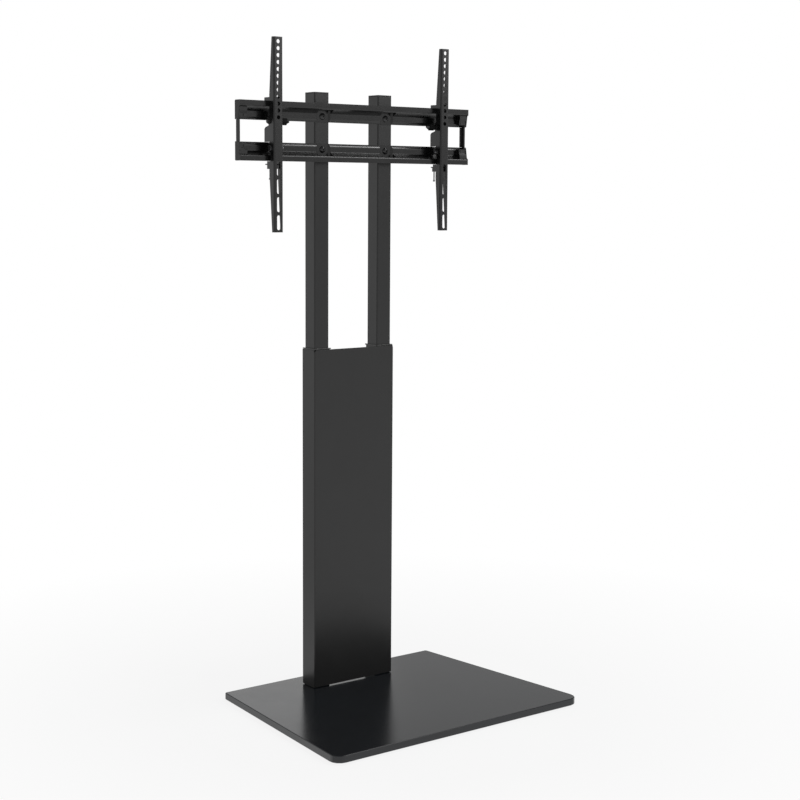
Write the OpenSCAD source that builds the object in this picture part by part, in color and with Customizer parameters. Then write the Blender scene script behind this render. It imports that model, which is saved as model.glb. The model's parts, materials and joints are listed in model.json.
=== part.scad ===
// Floor stand for a television: a board on the floor, two telescopic square
// posts behind a sheet cover, two folded rails and two tilting arms.
// The origin is the middle of the footprint on the floor, the screen faces -Y.

/* [Base board] */
// Width of the board's front edge
base_w_front = 700; // [560:10:820]
// Width of the board's back edge
base_w_back = 604; // [480:2:700]
// Depth of the board
base_d = 520; // [480:10:620]
// Thickness of the board
base_t = 16.5; // [14:0.5:30]
// Radius of the two front corners in plan
base_front_r = 24; // [6:1:60]
// Radius of the two back corners in plan
base_back_r = 4; // [2:1:30]
// Bevel round the top and bottom edges
base_bevel = 1.2; // [0.4:0.1:4]
// Radius of a foot pad
pad_r = 14; // [8:1:20]
// Thickness of a foot pad
pad_h = 3; // [2:0.5:8]
// Distance of a foot pad's centre from the board's edges
pad_inset = 48; // [30:1:90]

/* [Column] */
// Distance from the board's back edge to the cover's face
column_inset = 100.5; // [90:0.5:200]
// Clear width between the two posts
post_clear = 140; // [130:1:200]
// Outside width of an outer tube
outer_w = 45; // [44:0.5:52]
// Wall of an outer tube
outer_wall = 1.5; // [1.2:0.1:1.6]
// Corner radius of an outer tube
outer_r = 3; // [2.5:0.25:5]
// Length of an outer tube above the board
outer_len = 807.5; // [780:0.5:900]
// Thickness of the plate that closes an outer tube's foot
foot_t = 6; // [4:0.5:10]
// Distance between the two screws under a tube, front to back
foot_bolt_pitch = 22; // [20:1:24]
// Width of the two pressed ties between the tubes, up and down
tie_h = 46; // [30:1:80]
// Sheet of the ties
tie_t = 2.5; // [1.5:0.25:4]
// Length of a tie's end flange
tie_flange = 22; // [14:1:26]
// Height of the lower tie's middle above the board
tie_low = 110; // [60:5:300]
// Height of the upper tie's middle above the board
tie_high = 660; // [400:5:700]
// Distance of a cover boss from the middle of a tie
boss_x = 46; // [38:1:54]
// Radius of a cover boss
boss_r = 5; // [4:0.25:7]

/* [Cover] */
// Width of the cover
cover_w = 229; // [228:1:300]
// Depth of the cover's side flanges
cover_d = 50; // [40:1:60]
// Sheet of the cover
cover_t = 1.5; // [0.8:0.1:1.6]
// Outer bend radius of the cover
cover_bend = 3; // [2:0.25:6]
// Height of the cover
cover_h = 805; // [700:1:820]
// Light gap under the cover
cover_gap = 2; // [1:0.25:6]
// Corner cut at the top of the two bends
cover_corner = 5; // [2:0.5:9]

/* [Posts] */
// Outside width of an inner post
post_w = 40; // [36:0.5:40]
// Wall of an inner post
post_wall = 1.5; // [1.2:0.1:3]
// Corner radius of an inner post
post_r = 3; // [2.5:0.25:5]
// Length of an inner post
post_len = 790; // [640:5:860]
// Height of the post's capped top above the floor, with the posts right out
post_top = 1415.8; // [1380:0.2:1440]
// Way that the posts slide down into the tubes
lift_travel = 300; // [100:10:300]
// Distance from the cover's face to the post's face
post_setback = 6.6; // [6:0.1:10]
// Thickness of the cap on a post
post_cap_t = 3; // [2:0.5:6]
// Depth of a cap's or a glide's plug in the post
plug_depth = 18; // [8:1:30]
// Length of the bush sleeve inside an outer tube
bush_len = 30; // [16:1:40]
// Height of the bush's collar above the tube
bush_collar_h = 2.5; // [2:0.25:8]
// Overhang of the collar beyond the tube
bush_over = 1.9; // [0.5:0.1:2]
// Distance from a tube's top down to its clamp screw
clamp_drop = 52; // [44:1:80]

/* [Rails] */
// Length of a rail between its caps
rail_len = 646; // [610:2:800]
// Height of a rail
rail_h = 42; // [40:0.5:50]
// Height of a rail's front lip
lip_h = 11.5; // [9:0.5:14]
// Height of the sloping shelf behind the lip
shelf_h = 10.6; // [8:0.1:12]
// Distance from the lip's face back to the web's face
rail_depth = 17.7; // [15:0.1:19]
// Sheet of the rails
rail_t = 2; // [1.5:0.1:2.4]
// Height of the web's edge strip, set back towards the posts
strip_h = 4.2; // [3:0.1:6]
// Set-back of that strip
strip_back = 1.8; // [0.8:0.1:2.4]
// Height of the sloping step between the web and the strip
strip_step_h = 2.6; // [2:0.1:4]
// Distance from the lip's face to the post's face
lip_reach = 24.3; // [24:0.1:30]
// Distance from the top edge of the upper rail to the bottom edge of the lower one
rails_span = 132.2; // [126:0.2:150]
// Distance from the post's top down to the upper rail's top edge
rails_drop = 26.1; // [20:0.1:60]
// Width of the seat pressed back against a post
seat_w = 44; // [42:0.5:50]
// Slope of a seat's side wall, across its depth
seat_slope = 6.6; // [2:0.1:7]
// Radius of a rail bolt
bolt_r = 4; // [3:0.25:4.5]
// Radius of a rail bolt's dome
dome_r = 8; // [6.5:0.25:8.5]
// Height of a rail bolt's dome
dome_h = 5; // [3:0.2:6]

/* [Rail caps] */
// Thickness of a cap's end plate
cap_t = 2.5; // [1.5:0.25:4]
// Width of the face strip that joins the two heads
cap_strip_w = 8.7; // [6:0.1:12]
// Depth of the edge strip that joins the two heads
cap_strip_d = 10.6; // [6:0.1:12]
// Step of that strip in from the cap's end
cap_strip_step = 2.9; // [2.6:0.1:5]
// Depth of the heads' plugs in the rails
cap_plug = 20; // [12:0.5:22]
// Radius of a cap screw's head
cap_screw_r = 2.8; // [2.2:0.1:3]

/* [Arms] */
// Length of an arm
arm_len = 428; // [420:1:500]
// Width of an arm
arm_w = 24; // [23:0.5:34]
// Sheet of an arm
arm_t = 2; // [1.5:0.1:2.2]
// Depth of an arm's flanges at its ends
arm_end_d = 9.2; // [7:0.2:12]
// Length of the tapered stretch at each end
arm_taper = 126; // [90:1:130]
// Distance between the two arms' centre lines
arm_pitch = 473; // [300:1:590]
// Distance from the arm's face to the rail lip's face
arm_standoff = 19.3; // [18.5:0.1:24]
// Height of an arm's top above the upper rail
arm_rise = 138.3; // [130:0.1:150]
// Radius of the round fixing holes
hole_r = 4.5; // [3.5:0.25:5]
// Distance between the round fixing holes
hole_pitch = 15; // [12:0.5:18]
// Number of round fixing holes
hole_count = 12; // [8:1:14]
// Distance from the arm's top to the first hole
hole_first = 10; // [8:0.5:14]
// Length of a fixing slot, end to end
slot_len = 33; // [20:1:34]
// Distance between the fixing slots' centres
slot_pitch = 40; // [37:0.5:44]
// Number of fixing slots
slot_count = 4; // [2:1:4]
// Distance from the arm's bottom to the last slot's centre
slot_last = 21.4; // [20:0.2:30]
// Largest tilt of an arm
tilt_max = 10; // [4:1:10]

/* [Hook brackets] */
// Sheet of a bracket
hook_t = 2; // [1.5:0.1:2.4]
// Height of a hook's bar above the upper rail
hook_bar = 7.8; // [5:0.2:12]
// Way that a hook drops behind the lip
hook_drop = 7.7; // [4:0.1:8]
// Height of the tongue between the rails
tongue_h = 32.6; // [24:0.2:34]
// Distance from the lip's face back to the tongue's edge
tongue_reach = 23.6; // [20:0.2:23.6]
// Radius of the pivot bolt
pivot_r = 4; // [3:0.25:5]
// Distance from the lip's face forward to the pivot
pivot_ahead = 4.8; // [4.5:0.1:6]
// Height of the pivot above the lower rail's bottom edge
pivot_up = 28.5; // [26:0.1:32]
// Height of the tilt bolt above the pivot
tilt_up = 59; // [54:0.5:62]
// Distance from the pivot back to the tilt bolt
tilt_back = 5.5; // [4:0.1:6]
// Radius of the tilt bolt
tilt_r = 3; // [2.5:0.25:3.5]
// Radius of the tilt knob
tilt_knob_r = 8; // [7:0.5:12]
// Length of the tilt knob
tilt_knob_h = 19; // [9:0.5:22]
// Radius of the lock screw
lock_r = 1.6; // [1.4:0.1:2]
// Radius of the lock screw's head
lock_head_r = 2.6; // [2.2:0.1:4]
// Length of the lock screw under its nut
lock_hang = 23.5; // [20:0.5:40]
// Way that the lock screw rises behind the lip
lock_travel = 12; // [4:1:12]
// Distance from the arm's centre line to the lock screw
lock_shift = 1.5; // [0:0.5:2]

/* [Clamp knobs] */
// Radius of a clamp knob on a tube
clamp_knob_r = 17; // [12:0.5:20]
// Length of a clamp knob
clamp_knob_h = 20; // [12:0.5:24]
// Radius of the clamp screw
clamp_r = 4; // [3:0.25:5]

/* [Fits] */
// Gap between parts that slide along each other
slide_gap = 0.3; // [0.25:0.05:0.5]
// Radial gap of a turning pin
run_gap = 0.05; // [0.03:0.01:0.09]
// Radial gap of a fixing bolt in its hole
bolt_gap = 0.4; // [0.3:0.05:1]

/* [Hidden] */
$fn = 64;

// One overrun serves every cut
over = 1;
left = -1;
right = 1;
half_turn = 180;

// Heights and depths of the main planes
base_top = pad_h + base_t;
cover_y = base_d / 2 - column_inset;
post_y = cover_y + post_setback;
post_mid_y = post_y + post_w / 2;
post_x = (post_clear + post_w) / 2;
post_bottom = post_top - post_cap_t - post_len;
tube_top = base_top + outer_len;
tube_inside = outer_w - 2 * outer_wall;
post_inside = post_w - 2 * post_wall;
cover_bottom = base_top + cover_gap;

// Rails
lip_y = post_y - lip_reach;
web_y = lip_y + rail_depth;
rail_high = post_top - rails_drop;
rail_low = rail_high - rails_span;
rails_mid = (rail_high + rail_low) / 2;
rail_end = rail_len / 2;
rail_gap_low = rail_low + rail_h;
rail_gap_high = rail_high - rail_h;
strip_top = rail_gap_high + strip_h;
seat_top = rail_high - lip_h;
seat_fall = rail_t;
seat_depth = post_y - web_y;
bolt_drop = (lip_h + seat_fall + rail_t + rail_h) / 2;
washer_t = 1.5;
washer_r = 2 * bolt_r;
rail_nut_r = 1.9 * bolt_r;
rail_nut_h = 1.6 * bolt_r;
bend_steps = 4;
rail_bend = rail_t;

// Arms
arm_x = arm_pitch / 2;
arm_y = lip_y - arm_standoff;
arm_top = rail_high + arm_rise;
arm_bottom = arm_top - arm_len;
arm_mid_d = arm_standoff - slide_gap;
arm_inside = arm_w / 2 - arm_t;
arm_bend = arm_t * 1.25;
pivot_y = lip_y - pivot_ahead;
pivot_z = rail_low + pivot_up;
tilt_y = pivot_y + tilt_back;
tilt_z = pivot_z + tilt_up;
tilt_reach = norm([tilt_back, tilt_up]);
tilt_start = atan2(tilt_up, tilt_back);
ear_r = 2 * tilt_r;

// Relief in the arm's flange that passes the lower lip when the arm tilts
relief_top = rail_low + lip_h + 2 * arm_t * 1.4;
relief_bottom = rail_low - 2 * arm_t * 1.9;
relief_sweep = (pivot_z - rail_low) * sin(tilt_max);
relief_d = arm_mid_d - relief_sweep - slide_gap;

// Hook brackets
hook_half = arm_inside - slide_gap - run_gap;
hook_y = arm_y + arm_t + hook_t;
hook_sweep = (pivot_z - rail_low + hook_bar * 2) * sin(tilt_max);
hook_face = lip_y - 2 * slide_gap;
hook_behind = lip_y + rail_t + 2 * slide_gap;
hook_back = lip_y + tongue_reach;
hook_seat = rail_high + slide_gap;
hook_top = hook_seat + hook_bar;
hook_tip = hook_seat - hook_drop;
tongue_low = rail_gap_low + slide_gap;
tongue_top = tongue_low + tongue_h;
ear_back = tilt_y + ear_r;
ear_top = tilt_z + 4 * tilt_r;
ear_low = tilt_z - 3 * tilt_r;
foot_z = rail_low - slide_gap;
tab_t = hook_t * 1.25;
tab_z = foot_z - 4 * hook_t;
lock_nut_h = 4.5 * hook_t;
lock_nut_r = 2.6 * hook_t;
lock_y = hook_back - lock_nut_r;
tab_back = hook_back;
tab_front = lock_y - lock_nut_r - 4 * hook_t;
hook_bottom = tab_z - lock_nut_h;
lock_head_h = 1.8 * lock_r;
lock_tip = tab_z + tab_t + 2 * lock_r;
lock_bottom = hook_bottom - lock_hang;
foot_back = lock_y - lock_nut_r;
window_edge = 5 * hook_t;

// Screws of the arms and the clamps
pivot_head_r = 1.6 * pivot_r;
pivot_head_h = 0.8 * pivot_r;
pivot_nut_h = 1.1 * pivot_r;
pivot_tail = pivot_r;
tilt_head_r = 1.75 * tilt_r;
tilt_head_h = 1.2 * tilt_r;
tilt_washer_r = 2.2 * tilt_r;
tilt_washer_t = tilt_r / 2;
tilt_tail = 2.6 * tilt_r;
clamp_z = tube_top - clamp_drop;
clamp_nut_h = 1.6 * clamp_r;
clamp_nut_r = 1.85 * clamp_r;
clamp_tip_x = post_x - post_w / 2 - slide_gap;
clamp_face_x = post_x - outer_w / 2;
clamp_end_x = clamp_face_x - clamp_nut_h - clamp_knob_h - clamp_r;

// Board, ties and their screws
foot_bolt_r = bolt_r;
foot_head_r = 1.6 * foot_bolt_r;
foot_head_h = 1.1 * foot_bolt_r;
foot_washer_r = 2.2 * foot_bolt_r;
foot_washer_t = 1.6;
foot_sink_r = foot_washer_r + bolt_gap;
foot_sink_h = foot_head_h + foot_washer_t + bolt_gap;
tie_y = post_mid_y - tie_t;
tie_half = post_x - outer_w / 2;
cover_inner_y = cover_y + cover_t;
cover_screw_r = boss_r / 2;
cover_head_r = boss_r;
cover_head_h = 1.3 * cover_screw_r;
cover_grip = 4 * cover_screw_r;

// Bush, cap and glide
bush_hole = post_w + 2 * slide_gap;
bush_out = tube_inside - 2 * run_gap;
bush_collar = outer_w + 2 * bush_over;
glide_w = tube_inside - 2 * slide_gap;
glide_t = 2 * post_wall;
plug_w = post_inside - 2 * run_gap;
plug_wall = 2 * post_wall;

// Rail caps
cap_back = web_y + rail_t + run_gap;
cap_web_front = lip_y + rail_depth * 0.42;
cap_lip_front = lip_y + rail_depth * 0.2;
plug_gap = run_gap;
cap_screw_x = rail_end - cap_plug + 2 * cap_screw_r;
cap_screw_h = cap_screw_r / 2;
plug_front = lip_y + 2 * rail_t;
plug_foot = strip_top + strip_step_h - rail_t;
cap_screw_z = plug_foot + 1.5 * cap_screw_r;

// Direction helpers for folded sheet outlines
function unit(v) = v / norm(v);
function turned(v) = [-v[1], v[0]];
function spun(v, a) = [v[0] * cos(a) - v[1] * sin(a), v[0] * sin(a) + v[1] * cos(a)];
function side_of(a, b) = a[0] * b[1] - a[1] * b[0] < 0 ? -1 : 1;

// Points of one bend that replaces the corner between two straight stretches
function bend_points(before, corner, after, r) =
    let (
        a = unit(corner - before),
        b = unit(after - corner),
        s = side_of(a, b),
        angle = acos(min(1, a * b)),
        start = corner - a * r * tan(angle / 2),
        hub = start + turned(a) * s * r
    )
    [for (k = [0:bend_steps]) hub + spun(-turned(a) * s * r, s * angle * k / bend_steps)];

// An open path with every inner corner bent to a radius
function bent(path, r) = [
    path[0],
    for (i = [1:len(path) - 2])
        for (p = bend_points(path[i - 1], path[i], path[i + 1], r)) p,
    path[len(path) - 1]
];

// A closed outline with each corner rounded to its own radius
function rounded(path, radii) = [
    for (i = [0:len(path) - 1])
        let (n = len(path))
        for (p = bend_points(path[(i + n - 1) % n], path[i], path[(i + 1) % n], radii[i])) p
];

// The same path moved sideways, with mitred corners
function shifted(path, d) = [
    for (i = [0:len(path) - 1])
        let (
            a = unit(path[max(i, 1)] - path[max(i, 1) - 1]),
            b = unit(path[min(i + 1, len(path) - 1)] - path[min(i, len(path) - 2)])
        )
        path[i] + (turned(a) + turned(b)) * d / (1 + a * b)
];
function backwards(path) = [for (i = [len(path) - 1:-1:0]) path[i]];

// Section of a folded sheet along its middle line
module folded(path, t, r) {
    line = bent(path, r);
    polygon(concat(shifted(line, t / 2), backwards(shifted(line, -t / 2))));
}

// Square with true round corners
module round_square(w, d, r) {
    square([w - 2 * r, d], center = true);
    square([w, d - 2 * r], center = true);
    for (sx = [left, right])
        for (sy = [left, right])
            translate([sx * (w / 2 - r), sy * (d / 2 - r)])
                circle(r);
}

// Draws an outline given in Y and Z, from x0 to x1
module across(x0, x1) {
    translate([x0, 0, 0])
        rotate([90, 0, 90])
            linear_extrude(x1 - x0)
                children();
}

// Draws an outline given in X and Z, from y0 to y1
module through(y0, y1) {
    translate([0, y1, 0])
        rotate([90, 0, 0])
            linear_extrude(y1 - y0)
                children();
}

// Round bar along X, along Y and along Z
module bar_x(x0, x1, y, z, r) {
    translate([min(x0, x1), y, z])
        rotate([0, 90, 0])
            cylinder(h = abs(x1 - x0), r = r);
}

module bar_y(y0, y1, x, z, r) {
    translate([x, y0, z])
        rotate([-90, 0, 0])
            cylinder(h = y1 - y0, r = r);
}

module bar_z(z0, z1, x, y, r) {
    translate([x, y, z0])
        cylinder(h = z1 - z0, r = r);
}

// Mirrors what it holds to the given side of the middle plane
module on_side(side) {
    mirror([side == left ? 1 : 0, 0, 0])
        children();
}

// Square tube with round corners and a clear inside
module square_tube(w, wall, r, h) {
    linear_extrude(h)
        difference() {
            round_square(w, w, r);
            round_square(w - 2 * wall, w - 2 * wall, max(r - wall, wall / 2));
        }
}

// Board outline with a margin all round
module board_outline(margin) {
    half_front = base_w_front / 2 - margin;
    half_back = base_w_back / 2 - margin;
    half_d = base_d / 2 - margin;
    corners = [
        [-half_front, -half_d], [half_front, -half_d],
        [half_back, half_d], [-half_back, half_d]
    ];
    polygon(rounded(corners, [base_front_r, base_front_r, base_back_r, base_back_r]));
}

// Places of the screws that hold the tubes to the board
module at_foot_bolts() {
    for (side = [left, right])
        for (row = [left, right])
            translate([side * post_x, post_mid_y + row * foot_bolt_pitch / 2, 0])
                children();
}

module base_board() color([0.13, 0.13, 0.13]) {
    difference() {
        hull() {
            translate([0, 0, pad_h])
                linear_extrude(base_t)
                    board_outline(base_bevel);
            translate([0, 0, pad_h + base_bevel])
                linear_extrude(base_t - 2 * base_bevel)
                    board_outline(0);
        }
        at_foot_bolts() {
            bar_z(pad_h - over, base_top + over, 0, 0, foot_bolt_r + bolt_gap);
            bar_z(pad_h - over, pad_h + foot_sink_h, 0, 0, foot_sink_r);
        }
    }
}

// Three pads along each side of the board
module foot_pads() color([0.05, 0.05, 0.05]) {
    run = base_d / 2 - pad_inset;
    for (side = [left, right])
        for (step = [-1:1]) {
            half = (base_w_front * (1 - step) + base_w_back * (1 + step)) / 4;
            bar_z(0, pad_h, side * (half - pad_inset), step * run, pad_r);
        }
}

module base_bolts() color([0.45, 0.45, 0.46]) {
    head_z = pad_h + foot_sink_h - foot_washer_t - foot_head_h;
    at_foot_bolts() {
        difference() {
            bar_z(head_z, head_z + foot_head_h, 0, 0, foot_head_r);
            translate([0, 0, head_z - over])
                cylinder(h = foot_head_h / 2 + over, r = foot_bolt_r * 0.75, $fn = 6);
        }
        bar_z(head_z + foot_head_h, base_top + foot_t, 0, 0, foot_bolt_r);
    }
}

module base_washers() color([0.5, 0.5, 0.52]) {
    top = pad_h + foot_sink_h;
    at_foot_bolts()
        difference() {
            bar_z(top - foot_washer_t, top, 0, 0, foot_washer_r);
            bar_z(top - foot_washer_t - over, top + over, 0, 0, foot_bolt_r + run_gap);
        }
}

// Outer tube with its foot plate welded in and tapped
module outer_tube() color([0.16, 0.16, 0.16]) {
    difference() {
        translate([post_x, post_mid_y, base_top])
            union() {
                square_tube(outer_w, outer_wall, outer_r, outer_len);
                linear_extrude(foot_t)
                    round_square(outer_w - outer_wall, outer_w - outer_wall, outer_r / 2);
            }
        for (row = [left, right])
            bar_z(base_top - over, base_top + foot_t + over,
                post_x, post_mid_y + row * foot_bolt_pitch / 2, foot_bolt_r + run_gap);
        bar_x(clamp_face_x - over, post_x, post_mid_y, clamp_z, clamp_r + bolt_gap);
    }
}

module outer_tube_left() on_side(left) outer_tube();
module outer_tube_right() on_side(right) outer_tube();

// Pressed tie between the tubes, with a hole for each cover screw
module tie(mid) color([0.16, 0.16, 0.16]) {
    x = tie_half - tie_t / 2;
    y = tie_y + tie_t / 2;
    path = [[-x, y + tie_flange], [-x, y], [x, y], [x, y + tie_flange]];
    difference() {
        translate([0, 0, base_top + mid - tie_h / 2])
            linear_extrude(tie_h)
                folded(path, tie_t, tie_t);
        for (side = [left, right])
            bar_y(tie_y - over, tie_y + tie_t + over, side * boss_x, base_top + mid,
                cover_screw_r + bolt_gap);
    }
}

module tie_lower() tie(tie_low);
module tie_upper() tie(tie_high);

// Cover folded from one sheet, with four bosses welded inside its face
module column_cover() color([0.22, 0.22, 0.22]) {
    x = cover_w / 2 - cover_t / 2;
    y = cover_y + cover_t / 2;
    path = [[-x, cover_y + cover_d], [-x, y], [x, y], [x, cover_y + cover_d]];
    top = cover_bottom + cover_h;
    difference() {
        translate([0, 0, cover_bottom])
            linear_extrude(cover_h)
                folded(path, cover_t, cover_bend - cover_t / 2);
        for (side = [left, right])
            on_side(side)
                through(cover_y - over, cover_y + cover_bend)
                    polygon([
                        [cover_w / 2 - cover_corner, top], [cover_w / 2 + over, top + over],
                        [cover_w / 2 + over, top - cover_corner - over],
                        [cover_w / 2, top - cover_corner]
                    ]);
    }
    for (mid = [tie_low, tie_high])
        for (side = [left, right])
            difference() {
                bar_y(cover_y + cover_t / 2, tie_y, side * boss_x, base_top + mid, boss_r);
                bar_y(tie_y - cover_grip, tie_y + over, side * boss_x, base_top + mid,
                    cover_screw_r);
            }
}

module cover_screws() color([0.1, 0.1, 0.1]) {
    for (mid = [tie_low, tie_high])
        for (side = [left, right]) {
            bar_y(tie_y - cover_grip + over, tie_y + tie_t, side * boss_x, base_top + mid,
                cover_screw_r);
            difference() {
                bar_y(tie_y + tie_t, tie_y + tie_t + cover_head_h, side * boss_x,
                    base_top + mid, cover_head_r);
                translate([side * boss_x, tie_y + tie_t + cover_head_h / 2, base_top + mid])
                    rotate([-90, 0, 0])
                        cylinder(h = cover_head_h, r = cover_screw_r * 0.8, $fn = 6);
            }
        }
}

// Bush that guides a post: a thin sleeve in the tube and a collar on its end
module tube_bush() color([0.2, 0.2, 0.2]) {
    translate([post_x, post_mid_y, tube_top - bush_len])
        difference() {
            union() {
                linear_extrude(bush_len)
                    round_square(bush_out, bush_out, outer_r - outer_wall / 2);
                translate([0, 0, bush_len])
                    linear_extrude(bush_collar_h)
                        round_square(bush_collar, bush_collar, outer_r);
            }
            translate([0, 0, -over])
                linear_extrude(bush_len + bush_collar_h + 2 * over)
                    round_square(bush_hole, bush_hole, post_r);
        }
}

module tube_bush_left() on_side(left) tube_bush();
module tube_bush_right() on_side(right) tube_bush();

// Weld nut of a clamp screw on the inner face of a tube
module clamp_nut() color([0.18, 0.18, 0.18]) {
    difference() {
        translate([clamp_face_x - clamp_nut_h, post_mid_y, clamp_z])
            rotate([0, 90, 0])
                cylinder(h = clamp_nut_h, r = clamp_nut_r, $fn = 6);
        bar_x(clamp_face_x - clamp_nut_h - over, clamp_face_x + over, post_mid_y, clamp_z,
            clamp_r + run_gap);
    }
}

module clamp_nut_left() on_side(left) clamp_nut();
module clamp_nut_right() on_side(right) clamp_nut();

// Outline of a knob with hollows round its rim
module lobed(r, lobes) {
    difference() {
        circle(r);
        for (k = [0:lobes - 1])
            rotate(2 * half_turn * (k + 0.5) / lobes)
                translate([r * 1.22, 0])
                    circle(r * 0.42);
    }
}

// Clamp screw with its moulded knob, its tip just clear of the post
module clamp_knob() color([0.08, 0.08, 0.08]) {
    knob_x = clamp_face_x - clamp_nut_h - clamp_r;
    bar_x(knob_x - clamp_r, clamp_tip_x, post_mid_y, clamp_z, clamp_r);
    translate([clamp_end_x, post_mid_y, clamp_z])
        rotate([0, 90, 0])
            linear_extrude(clamp_knob_h)
                lobed(clamp_knob_r, 6);
}

module clamp_knob_left() on_side(left) clamp_knob();
module clamp_knob_right() on_side(right) clamp_knob();

// Sliding post, drilled through for the two rail bolts
module inner_post() color([0.22, 0.22, 0.21]) {
    difference() {
        translate([post_x, post_mid_y, post_bottom])
            square_tube(post_w, post_wall, post_r, post_len);
        for (z = [rail_high - bolt_drop, rail_low + bolt_drop])
            bar_y(post_y - over, post_y + post_w + over, post_x, z, bolt_r + bolt_gap);
    }
}

module inner_post_left() on_side(left) inner_post();
module inner_post_right() on_side(right) inner_post();

// Hollow plug that presses into a post's end
module post_plug(h) {
    linear_extrude(h)
        difference() {
            round_square(plug_w, plug_w, post_wall);
            round_square(plug_w - 2 * plug_wall, plug_w - 2 * plug_wall, post_wall / 2);
        }
}

module post_cap() color([0.12, 0.12, 0.12]) {
    translate([post_x, post_mid_y, post_top - post_cap_t])
        linear_extrude(post_cap_t)
            round_square(post_w, post_w, post_r);
    translate([post_x, post_mid_y, post_top - post_cap_t - plug_depth])
        post_plug(plug_depth);
}

module post_cap_left() on_side(left) post_cap();
module post_cap_right() on_side(right) post_cap();

// Glide on the post's foot, which keeps it straight in the tube
module post_glide() color([0.1, 0.1, 0.1]) {
    translate([post_x, post_mid_y, post_bottom - glide_t])
        linear_extrude(glide_t)
            round_square(glide_w, glide_w, post_r / 2);
    translate([post_x, post_mid_y, post_bottom])
        post_plug(plug_depth);
}

module post_glide_left() on_side(left) post_glide();
module post_glide_right() on_side(right) post_glide();

// Middle line of the upper rail's section in Y and Z, from the lip down
function rail_path() = [
    [lip_y + rail_t / 2, rail_high],
    [lip_y + rail_t / 2, rail_high - lip_h],
    [web_y + rail_t / 2, rail_high - lip_h - shelf_h],
    [web_y + rail_t / 2, strip_top + strip_step_h],
    [web_y + rail_t / 2 + strip_back, strip_top],
    [web_y + rail_t / 2 + strip_back, rail_gap_high]
];

// Everything behind the middle of the rail's sheet, back to the posts
module behind_rail() {
    line = bent(rail_path(), rail_bend);
    polygon(concat(line, [[post_y, rail_gap_high], [post_y, rail_high]]));
}

// Plan outline of a seat, wider at the web than at the post
module seat_plan(inset) {
    wide = seat_w / 2 - inset * norm([seat_slope, seat_depth]) / seat_depth;
    narrow = wide - seat_slope;
    polygon([
        [-wide, lip_y - over], [wide, lip_y - over], [wide, web_y],
        [narrow, post_y + over], [-narrow, post_y + over], [-wide, web_y]
    ]);
}

// Solid block of a seat, from the lip's foot back to the given depth
module seat_block(inset, back, roof) {
    intersection() {
        across(-seat_w, seat_w)
            polygon([
                [lip_y - inset, rail_gap_high - inset], [lip_y - inset, seat_top - roof],
                [back, seat_top - roof - seat_fall], [back, rail_gap_high - inset]
            ]);
        translate([0, 0, rail_gap_high - over])
            linear_extrude(rail_h)
                seat_plan(inset);
    }
}

// Upper rail: folded sheet with a seat pressed back at each post
module upper_rail() {
    difference() {
        union() {
            across(-rail_end, rail_end)
                folded(rail_path(), rail_t, rail_bend);
            for (side = [left, right])
                translate([side * post_x, 0, 0])
                    intersection() {
                        seat_block(0, post_y, 0);
                        across(-seat_w, seat_w)
                            behind_rail();
                    }
        }
        for (side = [left, right])
            translate([side * post_x, 0, 0]) {
                seat_block(rail_t, post_y - rail_t, rail_t);
                bar_y(post_y - rail_t - over, post_y + over, 0, rail_high - bolt_drop,
                    bolt_r + bolt_gap);
            }
        for (side = [left, right])
            bar_y(web_y - over, web_y + rail_t + over, side * cap_screw_x, cap_screw_z,
                cap_screw_r / 2 + run_gap);
    }
}

// Turns an upper form into the lower one
module lower() {
    translate([0, 0, 2 * rails_mid])
        mirror([0, 0, 1])
            children();
}

module rail_top() color([0.2, 0.2, 0.2]) upper_rail();
module rail_bottom() color([0.2, 0.2, 0.2]) lower() upper_rail();

// Places of the four rail bolts
module at_rail_bolts() {
    for (side = [left, right])
        for (z = [rail_high - bolt_drop, rail_low + bolt_drop])
            translate([side * post_x, 0, z])
                children();
}

// Domed bolt through the rail's seat and the post
module rail_bolts() color([0.13, 0.13, 0.13]) {
    face = post_y - rail_t;
    ball = (dome_r * dome_r + dome_h * dome_h) / (2 * dome_h);
    at_rail_bolts()
        difference() {
            union() {
                intersection() {
                    translate([0, face + ball - dome_h, 0])
                        sphere(ball);
                    bar_y(face - dome_h - over, face, 0, 0, dome_r);
                }
                bar_y(face - dome_h / 2, post_y + post_w + washer_t + rail_nut_h + over,
                    0, 0, bolt_r);
            }
            translate([0, face - dome_h - over, 0])
                rotate([-90, 0, 0])
                    cylinder(h = dome_h / 2 + over, r = bolt_r * 0.62, $fn = 6);
        }
}

module rail_washers() color([0.4, 0.4, 0.42]) {
    at_rail_bolts()
        difference() {
            bar_y(post_y + post_w, post_y + post_w + washer_t, 0, 0, washer_r);
            bar_y(post_y + post_w - over, post_y + post_w + washer_t + over, 0, 0,
                bolt_r + run_gap);
        }
}

module rail_nuts() color([0.4, 0.4, 0.42]) {
    y = post_y + post_w + washer_t;
    at_rail_bolts()
        difference() {
            translate([0, y, 0])
                rotate([-90, 0, 0])
                    cylinder(h = rail_nut_h, r = rail_nut_r, $fn = 6);
            bar_y(y - over, y + rail_nut_h + over, 0, 0, bolt_r + run_gap);
        }
}

// Outline of a cap's upper head in Y and Z
function head_outline() = [
    [cap_back, rail_gap_high], [cap_back, rail_high - rail_t],
    [cap_back - rail_t, rail_high], [lip_y, rail_high],
    [lip_y, rail_high - lip_h - rail_t], [cap_lip_front, rail_high - lip_h - 2 * rail_t],
    [cap_web_front, rail_gap_high + rail_t], [cap_web_front + rail_t, rail_gap_high]
];

// Height of the shelf's front surface at a distance from the front
function shelf_face(y) =
    rail_high - lip_h - (y - lip_y - rail_t / 2) * shelf_h / rail_depth
    - rail_t / 2 * norm([rail_depth, shelf_h]) / rail_depth - 2 * plug_gap;

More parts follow.
